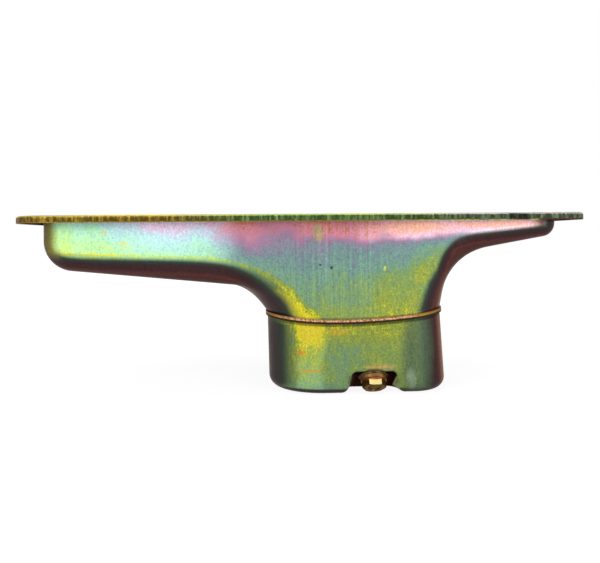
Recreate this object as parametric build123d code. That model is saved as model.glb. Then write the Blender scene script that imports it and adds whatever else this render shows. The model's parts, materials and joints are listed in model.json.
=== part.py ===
"""Engine oil pan of deep-drawn sheet steel with a welded-on lower sump.

Frame: the origin is the centre of the rail's bolt pattern, on the gasket face. +X runs from the deep
front tray towards the shallow rear tray, +Z points up at the engine and -Y is the side with the drain.
All sizes are in millimetres and degrees. Depths are measured down from the gasket face.
"""

import math
import os

from build123d import *

# Sheet
sheet = 1.8

# Rail: the flat flange under the gasket, with its edge turned down
rail_length = 560.0
rail_width = 254.0
rail_front_corner = 40.0
rail_rear_corner = 15.0
lip_height = 7.2
lip_bend = 3.0
notch_from_rear = 69.0
notch_radius = 18.0
notch_bite = 3.0
notch_blend = 6.0
front_land = 24.0
rear_land = 18.5
side_land = 20.0

# Bolt holes through the rail
bolt_hole = 8.7
side_bolt_edge = 10.0
end_bolt_edge = 10.5
side_bolt_end = 55.0
side_bolt_steps = 3
end_bolt_spacing = 120.0

# Trays
floor_depth_front = 51.6
floor_fall = 5.5
floor_depth_rear = 21.2
floor_rise = 10.0
floor_front_radius = 19.0
floor_rear_radius = 13.0
front_plan_radius = 25.0
rear_plan_radius = 20.0
front_toe_radius = 30.0
rear_toe_radius = 14.0
toe_radius_at_wall = 4.0

# Throat, where the trays run down into the sump
sump_front_reach = 246.0
sump_rear_reach = 135.0
front_collar = 1.5
rear_collar = 1.3
throat_front_angle = 52.7
throat_rear_angle = 79.0
crest_front_angle = 41.0
crest_rear_angle = 66.0
throat_radius = 58.0
crest_radius = 78.0
collar_radius = 4.0
sump_front_corner = 56.0
sump_rear_corner = 36.0

# Seam between the upper pressing and the sump: a cylinder's arc, lowest behind the sump's front
seam_depth = 106.3
seam_radius = 620.0
seam_low_from_front = 74.0
bead_width = 4.6
bead_height = 1.9

# Lower sump
sump_depth = 179.0
sump_front_lean = 1.7
sump_rear_lean = 5.0
sump_edge_radius = 12.0

# Drain recess in the sump's lower edge
recess_from_rear = 73.5
recess_width = 45.0
recess_height = 22.5
recess_angle = 32.5
recess_flare = 14.0
recess_corner = 6.0
recess_lip = 8.0

# Drain bung, washer and plug, all on one axis square to the recess face
drain_set_in = 11.9
bung_radius = 13.0
bung_stand = 5.0
bung_neck_radius = 11.0
bung_neck_length = 7.0
thread_radius = 7.0
thread_clearance = 0.05
bung_weld_leg = 1.8
washer_radius = 11.8
washer_thickness = 1.6
washer_clearance = 0.3
hex_across_flats = 21.0
hex_height = 5.6
hex_chamfer = 1.1
hex_dish_radius = 6.0
hex_dish_depth = 0.8
shank_length = 15.0
shank_chamfer = 1.2

# Slosh baffle inside the sump's mouth
baffle_sheet = 1.5
baffle_depth = 113.0
baffle_side_gap = 3.0
baffle_tab_drop = 16.0
baffle_tab_width = 26.0
baffle_tab_margin = 5.0
pickup_from_front = 73.0
pickup_from_rear = 28.0
pickup_width = 96.0
pickup_corner_share = 0.38
drain_back_hole = 18.0
drain_back_from_front = 31.0
drain_back_pitch = 38.0
drain_back_steps = 1

half_length = rail_length / 2
half_width = rail_width / 2
wall_y = half_width - side_land
tray_front_x = -half_length + front_land
tray_rear_x = half_length - rear_land
sump_front_x = -half_length + sump_front_reach
sump_rear_x = half_length - sump_rear_reach
notch_x = half_length - notch_from_rear
recess_x = sump_rear_x - recess_from_rear
pickup_length = sump_rear_x - sump_front_x - pickup_from_front - pickup_from_rear
pickup_x = sump_front_x + pickup_from_front + pickup_length / 2
drain_back_x = sump_front_x + drain_back_from_front
seam_low_x = sump_front_x + seam_low_from_front

# Room that a cutting or a joining body reaches past the sheet that it works on
reach = 20.0
# Steps of the widest rounding, in degrees, at which a side section is taken
section_step = 9


def rounding(radius, inset):
    """How far a quarter round of this radius still stands in, at this distance in from the wall."""
    if inset >= radius:
        return 0.0
    return radius - math.sqrt(radius**2 - (radius - inset) ** 2)


def crossing(a, a_angle, b, b_angle):
    """The point where the line through a at a_angle meets the line through b at b_angle."""
    ax, az = math.cos(math.radians(a_angle)), math.sin(math.radians(a_angle))
    bx, bz = math.cos(math.radians(b_angle)), math.sin(math.radians(b_angle))
    t = ((b[0] - a[0]) * bz - (b[1] - a[1]) * bx) / (ax * bz - az * bx)
    return (a[0] + t * ax, a[1] + t * az)


def seam_depth_at(x):
    """The seam's depth at this distance along the pan."""
    return seam_depth - seam_radius + math.sqrt(seam_radius**2 - (x - seam_low_x) ** 2)


front_seam_depth = seam_depth_at(sump_front_x)
rear_seam_depth = seam_depth_at(sump_rear_x)


def sump_ends(depth):
    """Where the sump's front and rear walls stand at one depth: the front leans in going down, and
    the rear leans out."""
    share = (depth - rear_seam_depth) / (sump_depth - rear_seam_depth)
    return sump_front_x + sump_front_lean * share, sump_rear_x + sump_rear_lean * share


def side_section(skin, inset, top):
    """The pan's side view at one distance in from the side wall, from front wall to rear wall.

    skin is 0 for the outside of the sheet and its thickness for the inside. The floors and the ends
    draw in towards the side wall by their own roundings, and the throat does so most of all.
    """
    front_floor_in = rounding(floor_front_radius - skin, inset)
    rear_floor_in = rounding(floor_rear_radius - skin, inset)
    front_in = rounding(sump_front_corner - skin, inset)
    rear_in = rounding(sump_rear_corner - skin, inset)
    front_share = front_in / (sump_front_corner - skin)
    rear_share = rear_in / (sump_rear_corner - skin)
    wall_front = tray_front_x + skin + rounding(front_plan_radius - skin, inset)
    wall_rear = tray_rear_x - skin - rounding(rear_plan_radius - skin, inset)
    front_angle = throat_front_angle + (crest_front_angle - throat_front_angle) * front_share
    rear_angle = throat_rear_angle + (crest_rear_angle - throat_rear_angle) * rear_share
    front_depth = front_seam_depth - front_collar
    rear_depth = rear_seam_depth - rear_collar
    foot_depth = sump_depth - reach
    collar_front = (sump_ends(front_depth)[0] + skin + front_in, -front_depth)
    collar_rear = (sump_ends(rear_depth)[1] - skin - rear_in, -rear_depth)
    foot_front = (sump_ends(foot_depth)[0] + skin + front_in, -foot_depth)
    foot_rear = (sump_ends(foot_depth)[1] - skin - rear_in, -foot_depth)
    floor_front = (tray_front_x, -floor_depth_front + skin + front_floor_in)
    floor_rear = (tray_rear_x, -floor_depth_rear + skin + rear_floor_in)
    toe_front = crossing(floor_front, -floor_fall, (wall_front, 0), 90)
    knee_front = crossing(floor_front, -floor_fall, collar_front, -front_angle)
    knee_rear = crossing(floor_rear, floor_rise, collar_rear, rear_angle)
    toe_rear = crossing(floor_rear, floor_rise, (wall_rear, 0), 90)
    front_toe_share = front_floor_in / (floor_front_radius - skin)
    rear_toe_share = rear_floor_in / (floor_rear_radius - skin)
    front_toe = front_toe_radius - skin + (toe_radius_at_wall - front_toe_radius) * front_toe_share
    rear_toe = rear_toe_radius - skin + (toe_radius_at_wall - rear_toe_radius) * rear_toe_share
    front_knee = throat_radius + skin + (crest_radius - throat_radius) * front_share
    rear_knee = throat_radius + skin + (crest_radius - throat_radius) * rear_share
    points = [(wall_front, top), toe_front, knee_front, collar_front, foot_front]
    points += [foot_rear, collar_rear, knee_rear, toe_rear, (wall_rear, top)]
    radii = [0, front_toe, front_knee, collar_radius + skin, 0]
    radii += [0, collar_radius + skin, rear_knee, rear_toe, 0]
    side_plane = Plane(origin=(0, -wall_y + skin + inset, 0), x_dir=(1, 0, 0), z_dir=(0, -1, 0))
    return side_plane * make_face(FilletPolyline(*points, radius=radii, close=True))


def pan_form(skin, top):
    """The closed body of the trays and throat, down past the seam, at the outside or inside skin."""
    deepest = sump_front_corner - skin
    turns = range(0, 90 + section_step, section_step)
    insets = [deepest * (1 - math.cos(math.radians(turn))) for turn in turns]
    sections = [side_section(skin, inset, top) for inset in insets]
    near = loft(sections)
    middle_width = 2 * (wall_y - skin - deepest)
    middle = extrude(sections[-1], amount=-middle_width)
    return near + middle + mirror(near, about=Plane.XZ)


def seam_cylinder(radius_change=0.0):
    """The body above the seam: a cylinder along Y whose lowest line is the seam's lowest point."""
    centre = Location((seam_low_x, 0, seam_radius - seam_depth), (90, 0, 0))
    return centre * Cylinder(seam_radius + radius_change, rail_width + 2 * reach)


def below_seam():
    """Everything under the seam, between the front and the rear of the sump."""
    low, high = -sump_depth - reach, -min(front_seam_depth, rear_seam_depth) + bead_width
    front, rear = sump_front_x - reach, sump_rear_x + reach
    block = Location(((front + rear) / 2, 0, (low + high) / 2)) * Box(
        rear - front, rail_width + reach, high - low
    )
    return block - seam_cylinder()


def rail_face(skin=0.0):
    """The rail's outline, drawn in by the thickness of the turned-down edge where skin is given."""
    outline = Rectangle(rail_length, rail_width)
    front = outline.vertices().filter_by_position(Axis.X, -rail_length, 0)
    outline = fillet(front, rail_front_corner)
    outline = fillet([v for v in outline.vertices() if v.X > half_length - 1], rail_rear_corner)
    bite_y = -half_width - notch_radius + notch_bite
    outline -= Location((notch_x, bite_y)) * Circle(notch_radius)
    corners = [v for v in outline.vertices() if abs(v.X - notch_x) < notch_radius and v.Y < 0]
    outline = fillet(corners, notch_blend)
    return offset(outline, amount=-skin, kind=Kind.INTERSECTION) if skin else outline


def rail():
    """The flat rail and its turned-down edge, before the trays and the holes are cut through it."""
    plate = extrude(rail_face(), amount=-lip_height)
    plate = fillet(plate.edges().group_by(Axis.Z)[-1], lip_bend)
    hollow = Location((0, 0, -sheet)) * extrude(rail_face(sheet), amount=-lip_height)
    hollow = fillet(hollow.edges().group_by(Axis.Z)[-1], lip_bend - sheet)
    return plate - hollow


def rail_holes():
    """One cutter for each bolt: the same steps along both sides, and two at each end."""
    pitch = (half_length - side_bolt_end) / side_bolt_steps
    places = []
    for step in range(-side_bolt_steps, side_bolt_steps + 1):
        for side in (-1, 1):
            places.append((step * pitch, side * (half_width - side_bolt_edge)))
    for end in (-1, 1):
        for side in (-1, 1):
            places.append((end * (half_length - end_bolt_edge), side * end_bolt_spacing / 2))
    return [Location((x, y, 0)) * Cylinder(bolt_hole / 2, 2 * reach) for x, y in places]


def pan_pressing():
    """Rail, trays and throat, drawn as one pressing."""
    body = rail() + pan_form(0.0, -sheet / 2)
    body -= pan_form(sheet, reach)
    body -= below_seam()
    for hole in rail_holes():
        body -= hole
    return body


def sump_outline(depth, skin):
    """The sump's plan at one depth, with its large front corners and its smaller rear ones."""
    front, rear = sump_ends(depth)
    front, rear = front + skin, rear - skin
    middle = (front + rear) / 2
    plan = Location((middle, 0)) * Rectangle(rear - front, 2 * (wall_y - skin))
    plan = fillet([v for v in plan.vertices() if v.X < middle], sump_front_corner - skin)
    sharp = [v for v in plan.vertices() if v.X > rear - 1]
    plan = fillet(sharp, sump_rear_corner - skin)
    return Location((0, 0, -depth)) * plan


def recess_plane(skin):
    """The plane of the recess face, with its normal out of the recess and its Y up the slope."""
    down = math.radians(recess_angle)
    normal = Vector(0, -math.sin(down), -math.cos(down))
    edge = Vector(recess_x, -wall_y, -sump_depth + recess_height)
    return Plane(origin=edge - normal * skin, x_dir=(1, 0, 0), z_dir=normal)


def recess(skin):
    """The body that the drain recess takes out of the sump, grown by the sheet for its inside."""
    slope = recess_height / math.sin(math.radians(recess_angle)) + 2 * reach
    plane = recess_plane(skin)
    face = plane * Rectangle(recess_width + 2 * skin, 2 * slope)
    body = extrude(face, amount=recess_height + reach, taper=-recess_flare)
    floor = body.faces().sort_by_distance(plane.origin)[0]
    edges = [e for e in floor.edges() if abs(e.tangent_at(0.5).X) < 0.5]
    return fillet(edges, recess_corner + skin)


def sump_form(skin):
    """The sump's closed body at the outside or the inside skin, with its lower edge rounded."""
    top, bottom = min(front_seam_depth, rear_seam_depth) - bead_width, sump_depth - skin
    body = loft([sump_outline(top, skin), sump_outline(bottom, skin)], ruled=True)
    body = fillet(body.edges().group_by(Axis.Z)[0], sump_edge_radius - skin)
    pocket = recess(skin)
    dented = body - pocket
    return fillet(new_edges(body, pocket, combined=dented), recess_lip - skin)


def drain_plane(along):
    """A plane square to the drain's axis, this far out from the recess face."""
    face = recess_plane(0.0)
    set_in = Vector(0, math.cos(math.radians(recess_angle)), -math.sin(math.radians(recess_angle)))
    origin = face.origin + set_in * drain_set_in + face.z_dir * along
    return Plane(origin=origin, x_dir=(1, 0, 0), z_dir=face.z_dir)


def turned(radius, start, length):
    """A round body on the drain's axis, from start outwards."""
    return extrude(drain_plane(start) * Circle(radius), amount=length)


def sump_pressing():
    """The lower sump, drawn as one pressing with the drain recess pushed into its edge."""
    body = sump_form(0.0) - sump_form(sheet)
    body -= seam_cylinder()
    body -= turned(bung_neck_radius, -2 * sheet, 4 * sheet)
    return body


def sump_seam_weld():
    """The bead that runs round the outside of the seam, on both pressings."""
    ring_top, ring_low = min(front_seam_depth, rear_seam_depth) - bead_width, seam_depth + bead_width
    outer = [offset(sump_outline(d, 0.0), amount=bead_height) for d in (ring_top, ring_low)]
    slab = loft(outer, ruled=True) & seam_cylinder(bead_width / 2)
    slab -= seam_cylinder(-bead_width / 2)
    return slab - pan_form(0.0, -sheet / 2)


def drain_bung():
    """A turned steel boss: its neck fills the hole in the sheet, its shoulder seats on the outside."""
    boss = turned(bung_radius, 0, bung_stand) + turned(
        bung_neck_radius, -sheet - bung_neck_length, sheet + bung_neck_length
    )
    bore = turned(thread_radius, -sheet - bung_neck_length - 1, 2 * reach)
    return boss - bore


def bung_weld():
    """The fillet weld round the boss, in the corner that it makes with the recess face."""
    toe = Polygon(
        (bung_radius, 0), (bung_radius + bung_weld_leg, 0), (bung_radius, bung_weld_leg), align=None
    )
    base = drain_plane(0)
    section = Plane(origin=base.origin, x_dir=base.x_dir, z_dir=base.z_dir.cross(base.x_dir) * -1)
    return revolve(section * toe, Axis(base.origin, base.z_dir))


def plug_washer():
    """The flat copper washer between the boss and the plug's head."""
    disc = turned(washer_radius, bung_stand, washer_thickness)
    return disc - turned(thread_radius + washer_clearance, 0, reach)


def drain_plug():
    """The hexagon-headed drain plug, with its shank through the washer and the boss."""
    seat = bung_stand + washer_thickness
    hexagon = RegularPolygon(hex_across_flats / 2, 6, major_radius=False)
    head = extrude(drain_plane(seat) * hexagon, amount=hex_height)
    corner = hex_across_flats / math.sqrt(3)
    turning = turned(corner + 1, seat - 1, hex_height + 1)
    crown = chamfer(
        turning.faces().sort_by(Axis(drain_plane(0).origin, drain_plane(0).z_dir))[-1].edges(),
        hex_chamfer,
        2 * hex_chamfer,
    )
    head &= crown
    head -= turned(hex_dish_radius, seat + hex_height - hex_dish_depth, reach)
    shank = turned(thread_radius - thread_clearance, seat - shank_length, shank_length)
    tip = shank.faces().sort_by(Axis(drain_plane(0).origin, drain_plane(0).z_dir))[0]
    return head + chamfer(tip.edges(), shank_chamfer)


def slosh_baffle():
    """A flat plate across the sump's mouth, with a pickup opening and four tabs turned down."""
    plate = offset(sump_outline(baffle_depth, sheet), amount=-baffle_side_gap)
    level = Location((0, 0, -baffle_depth))
    pickup = RectangleRounded(pickup_length, pickup_width, pickup_length * pickup_corner_share)
    plate -= level * Location((pickup_x, 0)) * pickup
    for step in range(-drain_back_steps, drain_back_steps + 1):
        plate -= level * Location((drain_back_x, step * drain_back_pitch)) * Circle(drain_back_hole / 2)
    body = extrude(plate, amount=-baffle_sheet)
    tab_in = baffle_tab_margin + baffle_tab_width / 2
    for x in (sump_front_x + sump_front_corner + tab_in, sump_rear_x - sump_rear_corner - tab_in):
        for side in (-1, 1):
            body += baffle_tab(x, side)
    return body


def baffle_tab(x, side):
    """One tab: out to the sump's wall and down along it, where it is spot-welded."""
    wall = wall_y - sheet
    start = wall - baffle_side_gap - baffle_sheet
    path = [(start, 0), (wall, 0), (wall, -baffle_tab_drop), (wall - baffle_sheet, -baffle_tab_drop)]
    path += [(wall - baffle_sheet, -baffle_sheet), (start, -baffle_sheet)]
    strip = make_face(Polyline(*path, close=True))
    start_x = x - baffle_tab_width / 2
    end_plane = Plane(origin=(start_x, 0, -baffle_depth), x_dir=(0, side, 0), z_dir=(side, 0, 0))
    return extrude(end_plane * strip, amount=baffle_tab_width * side)


parts = {
    "pan_pressing": pan_pressing(),
    "sump_pressing": sump_pressing(),
    "sump_seam_weld": sump_seam_weld(),
    "drain_bung": drain_bung(),
    "bung_weld": bung_weld(),
    "plug_washer": plug_washer(),
    "drain_plug": drain_plug(),
    "slosh_baffle": slosh_baffle(),
}

os.makedirs("parts", exist_ok=True)
for name, part in parts.items():
    export_step(part, f"parts/{name}.step")
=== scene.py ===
"""Engine oil pan, deep drawn from steel sheet and plated with iridescent yellow zinc."""

import json
import math

import bpy
from mathutils import Matrix, Vector


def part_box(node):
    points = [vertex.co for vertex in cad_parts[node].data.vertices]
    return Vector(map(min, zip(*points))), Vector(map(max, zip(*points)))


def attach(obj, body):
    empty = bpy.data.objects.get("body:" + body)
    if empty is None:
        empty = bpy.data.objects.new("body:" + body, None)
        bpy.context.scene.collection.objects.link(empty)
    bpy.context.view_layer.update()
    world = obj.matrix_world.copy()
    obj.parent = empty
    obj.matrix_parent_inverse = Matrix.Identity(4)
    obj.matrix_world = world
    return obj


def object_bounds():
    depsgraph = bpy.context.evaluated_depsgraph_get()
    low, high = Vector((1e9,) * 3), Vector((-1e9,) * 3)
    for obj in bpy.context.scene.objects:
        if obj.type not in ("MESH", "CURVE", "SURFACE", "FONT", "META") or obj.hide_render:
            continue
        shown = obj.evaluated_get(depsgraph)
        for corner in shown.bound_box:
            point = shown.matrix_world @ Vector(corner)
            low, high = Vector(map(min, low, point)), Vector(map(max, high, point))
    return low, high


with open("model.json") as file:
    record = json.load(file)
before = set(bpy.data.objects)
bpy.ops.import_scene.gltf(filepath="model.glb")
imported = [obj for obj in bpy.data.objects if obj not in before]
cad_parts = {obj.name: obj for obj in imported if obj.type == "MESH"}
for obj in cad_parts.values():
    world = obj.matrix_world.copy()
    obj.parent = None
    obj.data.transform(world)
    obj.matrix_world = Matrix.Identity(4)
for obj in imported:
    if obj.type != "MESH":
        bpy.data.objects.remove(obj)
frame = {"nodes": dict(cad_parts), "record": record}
solid_box = [list(corner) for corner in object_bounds()]
MM = 0.001

# Camera, floor and lamps. The photograph looks level at the drain side from about 0.6 m away, turned
# three degrees towards the rear tray, and the picture's frame is shifted down from the horizon.
camera_place = Vector((-35.1, -747.0, -23.3)) * MM
camera_turn = math.radians(3.0)
camera_roll = math.radians(0.49)
picture_width = 600
focal_pixels = 651.5
horizon_drop = 43.5
camera_data = bpy.data.cameras.new("camera")
camera_data.sensor_width = 36.0
camera_data.lens = focal_pixels / picture_width * camera_data.sensor_width
camera_data.shift_y = -horizon_drop / picture_width
camera_data.clip_end = 20.0
camera = bpy.data.objects.new("camera", camera_data)
upright = Matrix.Rotation(-camera_turn, 4, "Z") @ Matrix.Rotation(math.pi / 2, 4, "X")
camera.matrix_world = Matrix.Translation(camera_place) @ upright @ Matrix.Rotation(-camera_roll, 4, "Z")
bpy.context.scene.collection.objects.link(camera)
bpy.context.scene.camera = camera
bpy.context.scene.view_settings.view_transform = "Standard"


class Field:
    """The output of a node in a shader or geometry tree. Arithmetic on it adds Math nodes."""

    def __init__(self, tree, socket=None):
        self.tree = tree
        self.socket = socket

    def node(self, kind, settings, inputs, output=0):
        """Adds a node of this kind, makes its settings, such as a ramp's stops, and then fills or links
        its sockets."""
        made = self.tree.nodes.new(kind)
        for name, value in settings.items():
            if name == "stops":
                ramp = made.color_ramp.elements
                for place, colour in value[2:]:
                    ramp.new(place)
                for stop, (place, colour) in zip(ramp, value):
                    stop.position = place
                    stop.color = colour
            else:
                setattr(made, name, value)
        for key, value in inputs.items():
            if isinstance(value, Field):
                self.tree.links.new(value.socket, made.inputs[key])
            else:
                made.inputs[key].default_value = value
        return Field(self.tree, made.outputs[output] if made.outputs else None)

    def maths(self, operation, *values):
        """A Math node on one or two values, of which some are fields."""
        return self.node("ShaderNodeMath", {"operation": operation}, dict(enumerate(values)))

    def __add__(self, other):
        return self.maths("ADD", self, other)

    def __radd__(self, other):
        return self.maths("ADD", other, self)

    def __sub__(self, other):
        return self.maths("SUBTRACT", self, other)

    def __rsub__(self, other):
        return self.maths("SUBTRACT", other, self)

    def __mul__(self, other):
        return self.maths("MULTIPLY", self, other)

    def __rmul__(self, other):
        return self.maths("MULTIPLY", other, self)

    def __truediv__(self, other):
        return self.maths("DIVIDE", self, other)

    def __rtruediv__(self, other):
        return self.maths("DIVIDE", other, self)

    def __neg__(self):
        return self.maths("SUBTRACT", 0, self)

    def __abs__(self):
        return self.maths("ABSOLUTE", self)

    def at_least(self, other):
        """This or the other value, whichever is more."""
        return self.maths("MAXIMUM", self, other)

    def at_most(self, other):
        """This or the other value, whichever is less."""
        return self.maths("MINIMUM", self, other)

    def rise(self, start, end):
        """0 below start and 1 above end, with a smooth change between them."""
        shape = {"interpolation_type": "SMOOTHSTEP"}
        return self.node("ShaderNodeMapRange", shape, {0: self, 1: start, 2: end})

    def between(self, low, high, soft):
        """1 between low and high, fading to 0 over the distance soft outside them."""
        return self.rise(low - soft, low) * (1 - self.rise(high, high + soft))


def blank_tree(owner):
    """The node tree of a new material or world, emptied for its own nodes."""
    owner.use_nodes = True
    owner.node_tree.nodes.clear()
    return Field(owner.node_tree)


def seen(tree):
    """1 where a thing is seen, directly or mirrored in the part, and 0 where it only lights the part."""
    rays = tree.node("ShaderNodeLightPath", {}, {}).socket.node
    kinds = ("Is Camera Ray", "Is Glossy Ray", "Is Transmission Ray")
    return sum(Field(tree.tree, rays.outputs[kind]) for kind in kinds)


white = (1.0, 1.0, 1.0, 1.0)
ambient = 0.62
world = bpy.data.worlds.new("studio")
air = blank_tree(world)
light = seen(air) * (1 - ambient) + ambient
sky = air.node("ShaderNodeBackground", {}, {"Color": white, "Strength": light})
air.node("ShaderNodeOutputWorld", {}, {"Surface": sky})
bpy.context.scene.world = world

floor_reach = 6.0
floor_level = solid_box[0][2]
floor_corners = [(x * floor_reach, y * floor_reach) for x, y in ((-1, -1), (1, -1), (1, 1), (-1, 1))]
floor_mesh = bpy.data.meshes.new("floor")
floor_mesh.from_pydata([(x, y, floor_level) for x, y in floor_corners], [], [(0, 1, 2, 3)])
floor = bpy.data.objects.new("floor", floor_mesh)
board_grey = (0.7, 0.7, 0.7, 1.0)
board_glow = 1.1
shadow_share = 0.18
shadow_fades = (0.45, 0.9)
floor_paint = bpy.data.materials.new("white_board")
board = blank_tree(floor_paint)
board_place = board.node("ShaderNodeTexCoord", {}, {}, 3)
board_reach = board.node("ShaderNodeVectorMath", {"operation": "LENGTH"}, {0: board_place}, 1)
board_matt = board.node("ShaderNodeBsdfDiffuse", {}, {"Color": board_grey})
board_white = board.node("ShaderNodeEmission", {}, {"Color": white, "Strength": board_glow})
board_share = seen(board) * (1 - shadow_share + shadow_share * board_reach.rise(*shadow_fades))
board_mix = board.node("ShaderNodeMixShader", {}, {0: board_share, 1: board_matt, 2: board_white})
board.node("ShaderNodeOutputMaterial", {}, {"Surface": board_mix})
floor_mesh.materials.append(floor_paint)
bpy.context.scene.collection.objects.link(floor)

# Each lamp's place, size and power.
lamp_target = Vector((0.0, 0.0, -0.06))
lamps = {
    "key": ((-0.9, -1.3, 0.75), 1.1, 15.0),
    "fill": ((1.1, -1.2, 0.45), 1.0, 11.0),
    "top": ((0.0, 0.1, 1.5), 1.6, 10.0),
    "back": ((0.3, 1.5, 0.7), 1.2, 9.0),
}
for name, (place, size, power) in lamps.items():
    lamp_data = bpy.data.lights.new(name, "AREA")
    lamp_data.size = size
    lamp_data.energy = power
    lamp = bpy.data.objects.new(name, lamp_data)
    aim = lamp_target - Vector(place)
    lamp.matrix_world = Matrix.Translation(place) @ aim.to_track_quat("-Z", "Y").to_matrix().to_4x4()
    bpy.context.scene.collection.objects.link(lamp)


# Pan pressing. Rail, trays and throat are drawn from one steel sheet, then plated with zinc and passed
# in yellow chromate. The chromate is a thin film: as it thickens it shows orange, pink, violet, teal,
# green and yellow. Over it the colour is painted pale as a highlight where the light falls, and painted
# maroon as shade where the sheet turns away.
def shade(red, green, blue):
    """A colour given as it shows on a screen, from 0 to 255, in Blender's linear values."""
    parts = [value / 255 for value in (red, green, blue)]
    return tuple(p / 12.92 if p <= 0.04045 else ((p + 0.055) / 1.055) ** 2.4 for p in parts) + (1.0,)


# The film's colours, each from 0 to 1: deep by its thickness, highlight by its thickness where a highlight
# is painted, shaded as painted shade by how far the sheet turns away from the light, and tray_end as
# painted shade by how squarely the end of the front tray faces forward.
deep_film = (
    (0.00, shade(208, 128, 100)),
    (0.13, shade(206, 132, 146)),
    (0.26, shade(150, 118, 148)),
    (0.38, shade(112, 134, 140)),
    (0.52, shade(108, 146, 128)),
    (0.66, shade(122, 148, 84)),
    (0.80, shade(148, 156, 56)),
    (0.92, shade(208, 206, 46)),
    (1.00, shade(222, 184, 40)),
)
highlight_film = (
    (0.00, shade(255, 190, 164)),
    (0.13, shade(248, 196, 214)),
    (0.26, shade(220, 218, 240)),
    (0.38, shade(186, 226, 230)),
    (0.52, shade(174, 230, 196)),
    (0.66, shade(182, 226, 142)),
    (0.80, shade(200, 214, 92)),
    (0.92, shade(214, 190, 70)),
    (1.00, shade(206, 150, 60)),
)
shaded_film = (
    (0.00, shade(132, 140, 70)),
    (0.10, shade(74, 98, 78)),
    (0.30, shade(50, 64, 54)),
    (0.46, shade(52, 40, 42)),
    (0.72, shade(60, 36, 38)),
    (0.90, shade(84, 46, 44)),
    (1.00, shade(72, 42, 36)),
)
tray_end_shaded_film = (
    (0.00, shade(150, 150, 84)),
    (0.50, shade(120, 112, 56)),
    (1.00, shade(66, 56, 32)),
)
thickest_film = 0.94
rear_end_shade_brown = shade(84, 58, 46)
brim_highlight_tan = shade(158, 108, 74)
recess_shade = shade(12, 9, 8)
edge_tint = (0.5, 0.42, 0.4, 1.0)
dent_depth = 1.2 * MM

# The rail's shades at the front, the middle and the rear of the pan.
rail_highlight_line = (shade(184, 154, 50), shade(146, 168, 88), shade(176, 166, 172))
rail_band = (shade(70, 60, 18), shade(48, 66, 30), shade(40, 46, 36))
rail_tooth = (shade(180, 146, 54), shade(138, 166, 96), shade(108, 132, 96))
rail_foot = (shade(150, 110, 56), shade(130, 120, 60), shade(178, 198, 60))
rail_arris = shade(70, 58, 50)
rail_foot_rear_shade = shade(60, 38, 30)

# Places on the pan, in millimetres. The seam with the lower sump is an arc in the side view, and the
# outside of every wall faces away from the middle of the throat.
seam_lowest = 40
seam_level = -106.3
seam_radius = 620
throat_middle = 50
rail_side = 112
rail_end = 264
lip_foot = -8
notch_span = (203, 219)
recess_span = (49, 95)
recess_roof = -156
recess_front = -107.5


def mix(tree, share, low, high):
    """Between two colours by a share."""
    return tree.node("ShaderNodeMix", {"data_type": "RGBA"}, {0: share, 6: low, 7: high}, 2)


def noise(tree, where, scale, detail=2.0, roughness=0.5):
    """Blender's noise at a scale per metre, less its mean."""
    inputs = {"Vector": where, "Scale": scale, "Detail": detail, "Roughness": roughness}
    return tree.node("ShaderNodeTexNoise", {}, inputs) - 0.5


def split(tree, vector):
    """The three parts of a vector."""
    parts = tree.node("ShaderNodeSeparateXYZ", {}, {0: vector}).socket.node
    return [Field(tree.tree, parts.outputs[axis]) for axis in range(3)]


def film_colour(film, stops):
    """The colour of a film of this thickness, from the stops of a ramp."""
    return film.node("ShaderNodeValToRGB", {"stops": stops}, {0: film})


def stretched(where, across, along, up):
    """A place scaled differently along each axis, for grain and streaks."""
    return where.node("ShaderNodeVectorMath", {"operation": "MULTIPLY"}, {0: where, 1: (across, along, up)})


def seam_height(x, z):
    """How far a place lies above the seam between the pressings."""
    low = (x - seam_lowest).at_least(-80).at_most(100)
    return z - seam_level - low * low / (2 * seam_radius)


def painted_shade_edge(x):
    """The height on the near wall under each tray where painted shade starts, standing in for the sheet's
    turn under, and how far down it takes to darken there. Both lines run nearly level along their tray
    and dive into the throat."""
    throat = (x + 134).at_least(0)
    front_line = -42.8 - x * 0.03 - throat * throat * throat * 1.5e-5
    bend = (x + 75).at_least(0) / 60
    front_reach = 7 + bend * bend * 20
    shoulder = (178 - x).at_least(0)
    rear_line = x * 0.1 - 34.2 - shoulder * shoulder * 0.006
    rear_reach = 5
    return (front_line, front_reach), (rear_line, rear_reach)


film_slope = 0.0033
film_patches = (
    (0.34, (-30, 4, 16), (-104, -88, 24)),
    (0.10, (88, 112, 20), (-104, -66, 24)),
    (0.20, (124, 138, 22), (-56, -42, 20)),
)


def pan_film(x, z):
    """Film thickness and the share of painted highlight on the pan, at a place in millimetres. The film
    thickens downwards, fastest between the front tray and the throat, and towards the front end. Each
    patch is a thicker place in it: how much, and where it lies in X and Z. The highlight is painted over
    the front tray and along the top of the walls towards the rear."""
    per_depth = 0.006 + 0.0064 * x.rise(-190, -95) - 0.0057 * x.rise(-80, 20)
    low = (-60 - z).at_least(0)
    front = (-80 - x).at_least(0)
    film = -z * per_depth - low * film_slope + front * film_slope
    film = film + 0.15 * x.rise(-40, 40) * (1 - z.rise(-32, -19))
    for more, over_x, over_z in film_patches:
        film = film + more * x.between(*over_x) * z.between(*over_z)
    # Painted highlight: pale over the front tray and along the top of the walls towards the rear.
    painted_highlight = (1 - x.rise(-120, -40)).at_least(x.rise(40, 130) * z.rise(-28, -18))
    return film, painted_highlight


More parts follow.
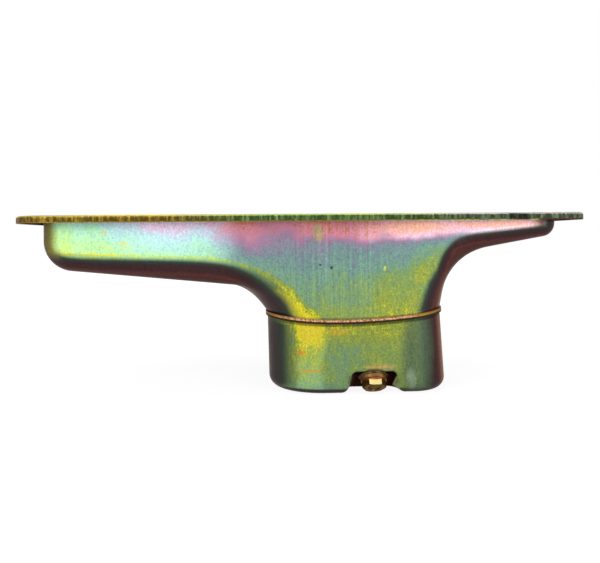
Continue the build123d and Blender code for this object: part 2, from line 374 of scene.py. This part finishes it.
class Skin:
    """What the material of a plated sheet works from: the place in millimetres, the normal, noise, and
    shares that say where on the pressings a place is."""

    def __init__(self, tree):
        self.tree = tree
        self.place = tree.node("ShaderNodeTexCoord", {}, {}, 3)
        self.across, self.along, self.up = [part * (1 / MM) for part in split(tree, self.place)]
        self.nx, self.ny, self.nz = split(tree, tree.node("ShaderNodeTexCoord", {}, {}, 1))
        self.add_noise(self.place)
        self.add_shares()

    def add_noise(self, place):
        """Clouds and patches in the film, grain and flecks in the sheet, and draw lines down the throat."""
        self.cloud = noise(self.tree, place, 20.0, 3.0)
        self.patch = noise(self.tree, place, 65.0, 4.0, 0.6)
        self.grain = noise(self.tree, place, 620.0, 3.0, 0.85)
        self.fleck = noise(self.tree, stretched(place, 1.0, 1.0, 0.35), 420.0, 2.0, 0.6)
        drawn = self.across.between(0, 62, 26) * self.up.between(-88, -8, 16) * (-self.ny).rise(0.8, 0.95)
        self.streak = noise(self.tree, stretched(place, 420.0, 420.0, 9.0), 1.0, 2.0, 0.6) * drawn

    def add_shares(self):
        """The height above the seam, and shares for the pan, for sheet that faces down, for its outside,
        for the near wall and for the middle of the width."""
        self.above_seam = seam_height(self.across, self.up)
        self.on_pan = self.above_seam.rise(-1, 1)
        foot = 1 - self.up.rise(-160, -140)
        self.down = (-self.nz - foot * 0.4) * (1 + foot * 0.6)
        away = self.nx * (self.across - throat_middle) + self.ny * self.along
        self.outward = away.rise(-2, 2).at_least(self.down.rise(0.2, 0.4))
        self.near = (-self.ny).rise(0.5, 0.8) * (-self.along).rise(90, 98)
        self.middle = 1 - abs(self.along).rise(4, 92)


def film_highlight_and_shade(skin, film_at, drift):
    """The film's thickness, its share of painted highlight, and its share of painted shade, which grows as
    the sheet turns away from the light, from 0 on the walls to 1 underneath. Along a line where the near
    wall starts to turn under, the film is painted thicker as a yellow highlight, and painted shade is laid
    below that line."""
    across, up, nx = skin.across, skin.up, skin.nx
    film, painted_highlight = film_at(across + skin.cloud * drift, up + skin.cloud * drift * 0.3)
    # Painted shade grows as the sheet faces down, forward near the front, and rearward near the rear.
    left = (-nx - 0.42) * 0.95 * (1 - across.rise(20, 30))
    right = (nx - 0.03) * 1.15 * across.rise(90, 110)
    throat_front = across.between(-70, 8, 14) * up.between(-104, -58, 8)
    turn = skin.down.at_least(left).at_least(right) - 0.28 * throat_front
    on_front = 1 - across.rise(-20, 12)
    on_rear = (across + (-50 - up) * 0.35).rise(130, 152)
    # Painted shade below each tray's line on the near wall, with a yellow highlight painted along the line.
    for (line, reach), share in zip(painted_shade_edge(across), (on_front, on_rear)):
        under = ((line - up) / reach * 0.34).at_most(1) * skin.on_pan
        turn = turn.at_least(under * share)
        film = film + under.between(0.04, 0.09, 0.05) * share * skin.outward * 0.16
    end_walls = skin.middle * abs(nx).rise(0.6, 0.95)
    turn = turn * skin.outward * (1 - 0.72 * end_walls)
    film = film + skin.patch * 0.26 + skin.grain * 0.45 + skin.fleck * 0.2 + skin.streak * 0.3
    return film.at_most(thickest_film), painted_highlight, turn


def clouded_film(skin, thickness, cloudiness):
    """The colour where a face lies open to the light and its film only clouds about one thickness."""
    film = thickness + skin.cloud * cloudiness + skin.patch * 0.6 + skin.grain * 0.4
    return film_colour(film, deep_film)


def wall_colour(skin, film, painted_highlight, turn):
    """The film's colour on the walls, with its painted highlight. Painted shade makes them dark where they
    turn away and brown at the rear end, a painted highlight makes the rear corners of the throat tan, the
    front end is olive with painted shade, and the faces that look up are clouded."""
    tree, across, nx = skin.tree, skin.across, skin.nx
    colour = mix(tree, painted_highlight, film_colour(film, deep_film), film_colour(film, highlight_film))
    # Painted shade: the rear end is painted brown.
    colour = mix(tree, across.rise(228, 243) * 0.9 * skin.outward, colour, rear_end_shade_brown)
    shaded_colour = film_colour(turn + skin.grain * 0.2 + skin.patch * 0.12, shaded_film)
    # Painted shade: dark teal to maroon where the sheet turns away.
    colour = mix(tree, turn.rise(0.02, 0.34), colour, shaded_colour)
    # Painted highlight: tan along the rear corners of the throat.
    brim_highlight = nx.rise(0.7, 0.93) * across.between(106, 150, 8) * skin.outward * (1 - skin.middle) * 0.75
    colour = mix(tree, brim_highlight, colour, brim_highlight_tan)
    # Painted shade on the end of the front tray, olive going dark as it faces squarely forward.
    end = (-nx).rise(0.08, 0.6) * (1 - skin.down.rise(0.15, 0.6)) * (1 - across.rise(-236, -226))
    colour = mix(tree, end * skin.outward, colour, film_colour(skin.patch * 0.3 - nx, tray_end_shaded_film))
    return mix(tree, skin.nz.rise(0.2, 0.7), colour, clouded_film(skin, 0.55, 1.1))


def rail_shares(skin):
    """Where the rail is, and where its top face is."""
    past_side = abs(skin.along).rise(rail_side, rail_side + 2)
    past_end = abs(skin.across).rise(rail_end, rail_end + 2)
    lip = (1 - skin.down.rise(0.3, 0.6)) * skin.up.rise(lip_foot - 1, lip_foot)
    top = skin.up.rise(-1.2, -0.4) * skin.nz.rise(0.6, 0.95)
    return (past_side.at_least(past_end) * lip).at_least(top), top


def rail_colour(skin, top):
    """The rail's trimmed edge, from the top down: an arris that is dark towards the rear, a bright line
    painted as the highlight on the bend, a dark band with the teeth of the trimming die, and a foot,
    painted maroon as shade at the rear end. The top face is clouded film."""
    tree, across, up = skin.tree, skin.across, skin.up
    to_middle, to_rear = across.rise(-150, -40), across.rise(40, 200)
    line, band, tooth, foot = [
        mix(tree, to_rear, mix(tree, to_middle, at_front, at_middle), at_rear)
        for at_front, at_middle, at_rear in (rail_highlight_line, rail_band, rail_tooth, rail_foot)
    ]
    teeth = noise(tree, stretched(skin.place, 260.0, 260.0, 50.0), 1.0, 3.0, 0.7)
    colour = mix(tree, (teeth * 3 + 0.1).at_least(0), band, tooth)
    # The bright line under the arris is a painted highlight on the bend.
    colour = mix(tree, (up + teeth * 2).rise(-1.9, -1.1), colour, line)
    colour = mix(tree, 1 - (up + teeth * 5).rise(-7.2, -6.5), colour, foot)
    arris = up.rise(-0.9, -0.5) * across.rise(-80, 20) * (1 - skin.nz.rise(0.6, 0.9))
    colour = mix(tree, arris, colour, rail_arris)
    # Painted shade: the foot of the rail is maroon at the rear end.
    colour = mix(tree, across.rise(222, 236) * (1 - up.rise(-6.2, -5.4)), colour, rail_foot_rear_shade)
    return mix(tree, top * 0.6, colour, clouded_film(skin, 0.72, 1.2))


def marked(skin, colour, marks):
    """Adds marks to the near wall, among them painted shade and painted highlights on the sump. Each is a
    tint, its share, its place in X and Z and how far it reaches in each, and the film's noise makes its
    outline wander."""
    wander = skin.cloud * 8 + skin.patch * 4
    for tint, share, place_x, place_z, reach_x, reach_z in marks:
        far_x = (skin.across + wander - place_x) / reach_x
        far_z = (skin.up + wander * 0.4 - place_z) / reach_z
        spot = 1 - (far_x * far_x + far_z * far_z).rise(0.15, 1.5)
        colour = mix(skin.tree, spot * skin.near * share, colour, tint)
    return colour


def end_in_metal(tree, sockets):
    """Ends a material's tree in a metal surface, whose reflections at its edges are a little brown."""
    surface = tree.node("ShaderNodeBsdfPrincipled", {}, {**sockets, "Specular Tint": edge_tint})
    tree.node("ShaderNodeOutputMaterial", {}, {"Surface": surface})


def plated_sheet(name, film_at, drift, marks):
    """Chromated zinc on rolled steel: the film's colours with their painted highlight and shade, in a
    pattern that the clouds shift by drift, in millimetres, the rail, marks, painted shade in the recess of
    the drain, painted shadow beside the seam and in the rail's notch, painted shade over the lower sump,
    and the grain and faint dents of a pressing."""
    material = bpy.data.materials.new(name)
    tree = blank_tree(material)
    skin = Skin(tree)
    film, painted_highlight, turn = film_highlight_and_shade(skin, film_at, drift)
    rim, top = rail_shares(skin)
    colour = mix(tree, rim, wall_colour(skin, film, painted_highlight, turn), rail_colour(skin, top))
    colour = marked(skin, colour, marks)
    # Painted shade: the recess of the drain is near black.
    recess = skin.across.between(*recess_span, 3) * (1 - skin.up.rise(recess_roof, recess_roof + 2.5))
    recess = recess * skin.along.rise(recess_front, recess_front + 1.5) * skin.down.rise(0.1, 0.4)
    colour = mix(tree, recess, colour, recess_shade)
    # Painted shadow under the seam bead, and a fainter one above it.
    shadow_under_seam = skin.above_seam.between(-4.4, -2.0, 1.2)
    shadow_over_seam = skin.above_seam.between(2.0, 3.2, 1.0)
    # Painted shadow in the rail's notch.
    notch = rim * skin.across.between(*notch_span, 4) * skin.near
    value = 1 + skin.grain * 1.4 + skin.fleck * 0.5 + skin.streak * 0.8
    value = value * (1 - (shadow_under_seam + 0.5 * shadow_over_seam) * 0.6) * (1 - notch * 0.7)
    # Painted shade: the lower sump is darker than the pan.
    value = value * (0.86 + 0.14 * skin.on_pan)
    colour = tree.node("ShaderNodeVectorMath", {"operation": "SCALE"}, {0: colour, "Scale": value})
    height = skin.cloud * 0.5 + skin.patch * 0.12 + skin.grain * 0.02 + skin.streak * 0.04
    bump = tree.node("ShaderNodeBump", {}, {"Strength": 0.6, "Distance": dent_depth, "Height": height})
    sockets = {
        "Base Color": colour,
        "Metallic": 0.6 + recess * 0.4,
        "Roughness": 0.36 + skin.grain * 0.4 + skin.patch * 0.2,
        "Specular IOR Level": 0.3,
        "Normal": bump,
    }
    end_in_metal(tree, sockets)
    return material


def cover(node, material):
    """Gives a solid's own surface this material."""
    surface = frame["nodes"][node]
    if not surface.material_slots:
        surface.data.materials.append(material)
    for slot in surface.material_slots:
        slot.material = material


pit_dark = shade(40, 44, 46)
smear_tan = shade(172, 154, 112)
scratch_pale = shade(176, 194, 198)
spot_yellow = shade(206, 210, 80)
blush_orange = shade(255, 184, 128)
blush_pink = shade(250, 196, 226)
stain_yellow = shade(226, 204, 88)
pan_marks = (
    (smear_tan, 0.9, 16, -18, 5.5, 10),
    (scratch_pale, 0.14, 24, -40, 1.4, 30),
    (pit_dark, 0.8, 18, -50, 1.3, 1.3),
    (pit_dark, 0.9, 29, -53, 1.6, 1.6),
    (spot_yellow, 0.6, 82, -54, 1.6, 2.6),
    (blush_orange, 0.45, 112, -14, 40, 6),
    (blush_orange, 0.45, 195, -11.5, 42, 3.5),
    (stain_yellow, 0.6, -192, -17, 2.6, 3.0),
    (stain_yellow, 0.5, -174, -28, 5.0, 2.4),
    (blush_pink, 0.35, -130, -12, 26, 5),
)
cover("pan_pressing", plated_sheet("pan_plate", pan_film, 90, pan_marks))


# Lower sump. A second deep-drawn pressing, plated together with the pan after welding. Its film is olive,
# and greener low down at the front; the yellow round the front corner under the seam is a painted
# highlight.
def sump_film(x, z):
    """Film thickness and the share of painted highlight on the lower sump, at a place in millimetres."""
    film = 0.7 + 0.08 * z.rise(-134, -114) - 0.08 * x.rise(96, 116)
    film = film - 0.08 * z.between(-148, -140, 20) * x.between(34, 48, 24)
    film = film - 0.1 * (1 - z.rise(-174, -152)) * (1 - x.rise(30, 70))
    # Painted highlight: the film turns yellow down the front corner, and the returned share paints it
    # paler.
    film = film + 0.24 * x.between(-3, 12, 9) * z.rise(-154, -116)
    return film, x.between(-2, 16, 6) * 0.35


stain_orange = shade(218, 140, 44)
stain_gold = shade(206, 164, 50)
corner_shade_green = shade(80, 98, 74)
lip_highlight_gold = shade(196, 164, 84)
glint_green = shade(176, 196, 178)
sump_marks = (
    (stain_orange, 0.8, 9, -155, 13, 1.0),
    (stain_orange, 0.7, -1, -137, 4.5, 2.5),
    (stain_gold, 0.4, 34, -116, 14, 5),
    (smear_tan, 0.5, 79, -152, 16, 4),
    # Painted shade: dark green towards the rear of the sump.
    (corner_shade_green, 0.75, 114, -142, 17, 60),
    # Painted highlight: a gold line along the lip over the recess.
    (lip_highlight_gold, 0.7, 76, -151.5, 15, 1.6),
    (glint_green, 0.26, 108, -164, 5, 11),
)
sump_plate = plated_sheet("sump_plate", sump_film, 30, sump_marks)
cover("sump_pressing", sump_plate)


# Slosh baffle. A flat plate across the mouth of the sump, with a pickup opening and drain holes. Its four
# tabs are spot-welded to the sump's wall, and it is plated with the sump.
cover("slosh_baffle", sump_plate)


# Seam bead. The two pressings are welded all round with one bead, laid in small overlapping ripples that
# stand on the solid bead. It is plated with the sheet, in gold that drifts to pink.
tooling_depth = 0.2 * MM


def plated_metal(name, low, high, metallic, roughness, grain, over=None, relief=None):
    """Plated or bare metal whose colour drifts between two shades. The functions over and relief work its
    colour and its height further."""
    material = bpy.data.materials.new(name)
    tree = blank_tree(material)
    place = tree.node("ShaderNodeTexCoord", {}, {}, 3)
    drift = noise(tree, place, grain, 3.0).rise(-0.12, 0.12)
    fine = noise(tree, place, 2500.0, 2.0)
    height = fine + relief(tree, place) if relief else fine
    bump = tree.node("ShaderNodeBump", {}, {"Strength": 0.4, "Distance": tooling_depth, "Height": height})
    colour = mix(tree, drift, low, high)
    if over:
        colour = over(tree, place, colour)
    sockets = {
        "Base Color": colour,
        "Metallic": metallic,
        "Roughness": roughness + drift * 0.12,
        "Normal": bump,
    }
    end_in_metal(tree, sockets)
    return material


bead_gold = shade(150, 112, 52)
bead_pink = shade(226, 168, 142)
bead_end_gold = shade(150, 108, 48)
bead_top_brown = shade(84, 66, 30)
bead_lower_shade = shade(46, 38, 22)


def bead_shading(tree, place, colour):
    """Plain gold at the front and rear of the sump, browner along the bead's top, and dark with painted
    shade on its lower half."""
    across, _, up = [part * (1 / MM) for part in split(tree, place)]
    height = seam_height(across, up)
    colour = mix(tree, across.between(-12, 100, 20), bead_end_gold, colour)
    colour = mix(tree, height.rise(0.6, 1.8) * 0.5, colour, bead_top_brown)
    # Painted shade darkens the bead's lower half.
    return mix(tree, height.rise(-0.7, 0.2), bead_lower_shade, colour)


bead_plate = plated_metal(
    "bead_plate", bead_gold, bead_pink, metallic=0.8, roughness=0.26, grain=520.0, over=bead_shading
)
cover("sump_seam_weld", bead_plate)
seam_corners = {"front": 56 * MM, "rear": 36 * MM}
bead_low, bead_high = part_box("sump_seam_weld")
bead_stand = 1.9 * MM
bead_height = 4.6 * MM
bead_front, bead_rear = bead_low[0] + bead_stand, bead_high[0] - bead_stand
bead_side = bead_high[1] - bead_stand
path_steps = 16


def seam_quarter(end, side):
    """The seam's plan round one corner, from the end wall to the side wall."""
    radius = seam_corners[end]
    outward = -1 if end == "front" else 1
    corner_x = (bead_front if end == "front" else bead_rear) - outward * radius
    turns = [math.pi / 2 * step / path_steps for step in range(path_steps + 1)]
    return [
        (corner_x + outward * radius * math.cos(t), side * (bead_side - radius + radius * math.sin(t)))
        for t in turns
    ]


def seam_side(side):
    """One side of the seam's plan, from the front wall round both corners to the rear wall."""
    front, rear = seam_quarter("front", side), seam_quarter("rear", side)
    start, stop = front[-1][0], rear[-1][0]
    places = [start + (stop - start) * step / path_steps for step in range(1, path_steps)]
    return front + [(x, side * bead_side) for x in places] + rear[::-1]


def on_seam(x, y):
    """The point of the seam above this place in its plan."""
    radius = seam_radius * MM
    climb = radius - math.sqrt(radius**2 - (x - seam_lowest * MM) ** 2)
    return (x, y, bead_low[2] + bead_height / 2 + climb)


plan = seam_side(-1) + seam_side(1)[::-1]
loop = [(point, (point + 1) % len(plan)) for point in range(len(plan))]
path_mesh = bpy.data.meshes.new("seam_bead")
path_mesh.from_pydata([on_seam(x, y) for x, y in plan], loop, [])
bead = bpy.data.objects.new("seam_bead", path_mesh)
bpy.context.scene.collection.objects.link(bead)

ripples = bpy.data.node_groups.new("weld_ripples", "GeometryNodeTree")
sockets = {}
for label, kind in (
    ("Path", "NodeSocketGeometry"),
    ("Pitch", "NodeSocketFloat"),
    ("Ripple", "NodeSocketVector"),
    ("Seed", "NodeSocketInt"),
    ("Material", "NodeSocketMaterial"),
):
    sockets[label] = ripples.interface.new_socket(label, in_out="INPUT", socket_type=kind).identifier
ripples.interface.new_socket("Bead", in_out="OUTPUT", socket_type="NodeSocketGeometry")
grown = Field(ripples)
given = grown.node("NodeGroupInput", {}, {}).socket.node
entry = {label: Field(ripples, given.outputs[label]) for label in sockets}
line = grown.node("GeometryNodeMeshToCurve", {}, {0: entry["Path"]})
pitched = {"Curve": line, "Length": entry["Pitch"]}
line = grown.node("GeometryNodeResampleCurve", {"mode": "LENGTH"}, pitched)
tangent = grown.node("GeometryNodeInputTangent", {}, {})
turned_to = grown.node("FunctionNodeAlignRotationToVector", {"axis": "X"}, {"Vector": tangent})
drop = grown.node("GeometryNodeMeshUVSphere", {}, {"Segments": 10, "Rings": 7, "Radius": 1.0})
least, most = (0.8, 0.86, 0.84), (1.25, 1.14, 1.12)
vary = {0: least, 1: most, "Seed": entry["Seed"]}
spread = grown.node("FunctionNodeRandomValue", {"data_type": "FLOAT_VECTOR"}, vary)
size = grown.node("ShaderNodeVectorMath", {"operation": "MULTIPLY"}, {0: spread, 1: entry["Ripple"]})
set_out = {"Points": line, "Instance": drop, "Rotation": turned_to, "Scale": size}
laid = grown.node("GeometryNodeInstanceOnPoints", {}, set_out)
laid = grown.node("GeometryNodeRealizeInstances", {}, {0: laid})
laid = grown.node("GeometryNodeSetShadeSmooth", {}, {0: laid})
laid = grown.node("GeometryNodeSetMaterial", {}, {"Geometry": laid, "Material": entry["Material"]})
grown.node("NodeGroupOutput", {}, {0: laid})


def grow(obj, group, values):
    """Runs a node group on an object, leaves the result as its plain mesh and takes the group off."""
    worker = obj.modifiers.new(group.name, "NODES")
    worker.node_group = group
    for identifier, value in values.items():
        worker[identifier] = value
    bpy.context.view_layer.update()
    evaluated = obj.evaluated_get(bpy.context.evaluated_depsgraph_get())
    result = bpy.data.meshes.new_from_object(evaluated)
    obj.modifiers.remove(worker)
    obj.data = result


ripple_values = {
    sockets["Pitch"]: 0.0024,
    sockets["Ripple"]: (0.0018, 0.0019, 0.0020),
    sockets["Seed"]: 7,
    sockets["Material"]: bead_plate,
}
grow(bead, ripples, ripple_values)
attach(bead, "pan")


# Drain boss. A threaded ring turned from bar, set through the face of the recess and joined to it by a
# fillet weld. Both are plated with the sheet, the weld darker.
fillet_dark, fillet_brown = shade(60, 44, 30), shade(124, 88, 60)
boss_dark, boss_gold = shade(96, 72, 40), shade(142, 108, 54)
fillet_plate = plated_metal(
    "fillet_plate", fillet_dark, fillet_brown, metallic=0.8, roughness=0.3, grain=400.0
)
boss_plate = plated_metal("boss_plate", boss_dark, boss_gold, metallic=0.8, roughness=0.3, grain=120.0)
cover("bung_weld", fillet_plate)
cover("drain_bung", boss_plate)


# Drain plug and washer. The plug is a plated hexagon bolt that screws into the boss, and the washer under
# its head is annealed copper.
turning = next(joint for joint in frame["record"]["behaviour"]["joints"] if joint["name"] == "plug_turn")
plug_axis = Vector(turning["axis"])
plug_side = Vector((1.0, 0.0, 0.0))
plug_front = plug_axis.cross(plug_side)
thread_pitch = 1.5 * MM
thread_radius = 7.1 * MM
thread_fade = 0.2 * MM
thread_strength = 1.5
plug_gold, plug_brown = shade(116, 92, 44), shade(78, 58, 26)
flat_highlight_cream = shade(226, 206, 140)
copper_light, copper_dark = shade(180, 100, 62), shade(128, 66, 42)


def reach_along(tree, vector, direction):
    """How far a vector reaches along a fixed direction."""
    return tree.node("ShaderNodeVectorMath", {"operation": "DOT_PRODUCT"}, {0: vector, 1: direction}, 1)


def painted_flat_highlight(tree, place, colour):
    """The flat of the hexagon that faces out of the recess, painted bright as a highlight."""
    normal = tree.node("ShaderNodeTexCoord", {}, {}, 1)
    return mix(tree, reach_along(tree, normal, plug_front).rise(0.97, 0.99), colour, flat_highlight_cream)


def thread(tree, place):
    """The thread on the shank, a wave that climbs one pitch in each turn about the plug's axis."""
    ends = {0: place, 1: Vector(turning["pos_m"])}
    reach = tree.node("ShaderNodeVectorMath", {"operation": "SUBTRACT"}, ends)
    down, side, front = [reach_along(tree, reach, way) for way in (plug_axis, plug_side, plug_front)]
    phase = down * (math.tau / thread_pitch) - front.maths("ARCTAN2", front, side)
    outside = (side * side + front * front).rise(thread_radius**2, (thread_radius + thread_fade) ** 2)
    return phase.maths("SINE", phase) * (1 - outside) * thread_strength


plug_plate = plated_metal(
    "plug_plate",
    plug_gold,
    plug_brown,
    metallic=0.85,
    roughness=0.28,
    grain=140.0,
    over=painted_flat_highlight,
    relief=thread,
)
washer_copper = plated_metal(
    "washer_copper", copper_light, copper_dark, metallic=0.95, roughness=0.32, grain=200.0
)
cover("drain_plug", plug_plate)
cover("plug_washer", washer_copper)
